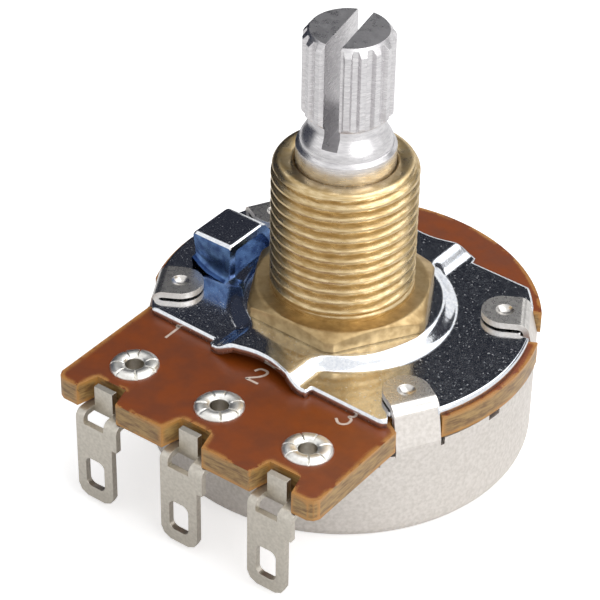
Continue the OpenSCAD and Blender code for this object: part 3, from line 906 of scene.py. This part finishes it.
@dataclass
class Studio:
    """White table, soft lamps and the camera at the photograph's angle.

    Lengths are in millimetres.
    """

    floor_z: float = -10.61
    floor_size: float = 4000.0
    floor_colour: str = "#f2f2f2"
    floor_glow: float = 0.5
    room_light: float = 0.6
    camera_at: Point = (69.57, -100.08, 87.49)
    right: Point = (0.8016, 0.5977, 0.0142)
    up: Point = (-0.3622, 0.4665, 0.8070)
    lens: float = 145.5
    sensor: float = 36.0
    shift: tuple[float, float] = (0.0054, 0.0003)
    # Name, place, size, and the lamp's watts or the card's colour
    lamps: tuple[tuple[str, Point, tuple[float, float], float], ...] = (
        ("key_lamp", (50, 90, 220), (210, 210), 0.24),
        ("fill_lamp", (190, -50, 110), (160, 160), 0.17))
    cards: tuple[tuple[str, Point, tuple[float, float], str], ...] = (
        ("rear_card", (-110, 150, 136), (170, 110), "#282a31"),
        ("rear_left_card", (-56, 36, 20), (52, 66), "#2b2d36"),
        ("left_card", (-66, -8, 29), (64, 80), "#333744"),
        ("rear_right_card", (56, 171, 108), (110, 86), "#34353c"))

    def camera(self) -> None:
        """Place the camera and make it the scene's own."""
        data = bpy.data.cameras.new("camera")
        data.lens = self.lens
        data.sensor_width = self.sensor
        data.shift_x, data.shift_y = self.shift
        data.clip_start, data.clip_end = 0.005, 10.0
        camera = bpy.data.objects.new("camera", data)
        bpy.context.scene.collection.objects.link(camera)
        right, up = Vector(self.right).normalized(), Vector(self.up)
        up = (up - right * up.dot(right)).normalized()
        back = right.cross(up)
        turn = Matrix((right, up, back)).transposed().to_4x4()
        camera.matrix_world = Matrix.Translation(Vector(self.camera_at) * MM) @ turn
        bpy.context.scene.camera = camera

    def _lamp(self, name: str, at: Point, size: tuple[float, float], power: float) -> None:
        """Add a soft lamp that looks at the part.

        Args:
            name: the lamp's name.
            at: its place.
            size: its width and height.
            power: its power in watts.
        """
        data = bpy.data.lights.new(name, "AREA")
        data.shape = "RECTANGLE"
        data.size, data.size_y = size[0] * MM, size[1] * MM
        data.energy = power
        lamp = bpy.data.objects.new(name, data)
        lamp.location = Vector(at) * MM
        lamp.rotation_mode = "QUATERNION"
        lamp.rotation_quaternion = (-Vector(at)).to_track_quat("-Z", "Y")
        bpy.context.scene.collection.objects.link(lamp)

    def _flag(self, name: str, at: Point, size: tuple[float, float], grey: str) -> None:
        """Stand up a dark card that only polished metal sees.

        Args:
            name: the card's name.
            at: its middle; it faces the shaft's axis.
            size: its width and height.
            grey: its sRGB colour.
        """
        card = make_card(name, size[0] * MM, size[1] * MM)
        card.location = Vector(at) * MM
        card.rotation_mode = "QUATERNION"
        card.rotation_quaternion = Vector((at[0], at[1], 0)).to_track_quat("Z", "Y")
        card.visible_camera = card.visible_diffuse = card.visible_shadow = False
        material = bpy.data.materials.new(name)
        tree = clear_tree(material)
        glow = add_node(tree, "ShaderNodeEmission", {"Color": srgb(grey), "Strength": 1.0})
        add_node(tree, "ShaderNodeOutputMaterial", {"Surface": glow.outputs[0]})
        card.data.materials.append(material)

    def _floor(self) -> None:
        """Lay the white table, which keeps the part's shadow and glows for the camera alone."""
        floor = make_card("floor", self.floor_size * MM, self.floor_size * MM)
        floor.location.z = self.floor_z * MM
        material = bpy.data.materials.new("white_card")
        tree = clear_tree(material)
        rays = add_node(tree, "ShaderNodeLightPath")
        level = add_node(tree, "ShaderNodeMath",
                         {0: rays.outputs["Is Camera Ray"], 1: self.floor_glow},
                         operation="MULTIPLY")
        matt = add_node(tree, "ShaderNodeBsdfDiffuse", {"Color": srgb(self.floor_colour)})
        glow = add_node(tree, "ShaderNodeEmission", {"Strength": level.outputs[0]})
        both = add_node(tree, "ShaderNodeAddShader", {0: matt.outputs[0], 1: glow.outputs[0]})
        add_node(tree, "ShaderNodeOutputMaterial", {"Surface": both.outputs[0]})
        floor.data.materials.append(material)

    def _world(self) -> None:
        """Make the white surroundings, which light matt surfaces less than metal sees them."""
        world = bpy.data.worlds.new("white_room")
        tree = clear_tree(world)
        rays = add_node(tree, "ShaderNodeLightPath")
        seen = add_node(tree, "ShaderNodeMath",
                        {0: rays.outputs["Is Camera Ray"], 1: rays.outputs["Is Glossy Ray"]},
                        operation="MAXIMUM")
        level = add_node(tree, "ShaderNodeMapRange",
                         {"Value": seen.outputs[0], "To Min": self.room_light, "To Max": 1.0})
        sky = add_node(tree, "ShaderNodeBackground",
                       {"Color": (1, 1, 1, 1), "Strength": level.outputs[0]})
        add_node(tree, "ShaderNodeOutputWorld", {"Surface": sky.outputs[0]})
        bpy.context.scene.world = world

    def build(self) -> None:
        """Set up the whole studio."""
        scene = bpy.context.scene
        scene.view_settings.view_transform = "Standard"
        self._world()
        self._floor()
        for lamp in self.lamps:
            self._lamp(*lamp)
        for card in self.cards:
            self._flag(*card)
        self.camera()


def main() -> None:
    """Build every sub-assembly in order and report each piece."""
    logging.basicConfig(level=logging.INFO, format="%(name)s: %(message)s")
    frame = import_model()
    palette = Palette()
    for node in CadPieces(palette, frame["nodes"]).dress():
        LOG.info("dressed %s", node.name)
    for assembly in (ThreadedBushing(palette), FrontPlate(palette), SolderRow(palette)):
        for piece in assembly.build():
            LOG.info("built %s, %d points", piece.name, len(piece.data.vertices))
    Studio().build()


if __name__ == "__main__":
    main()
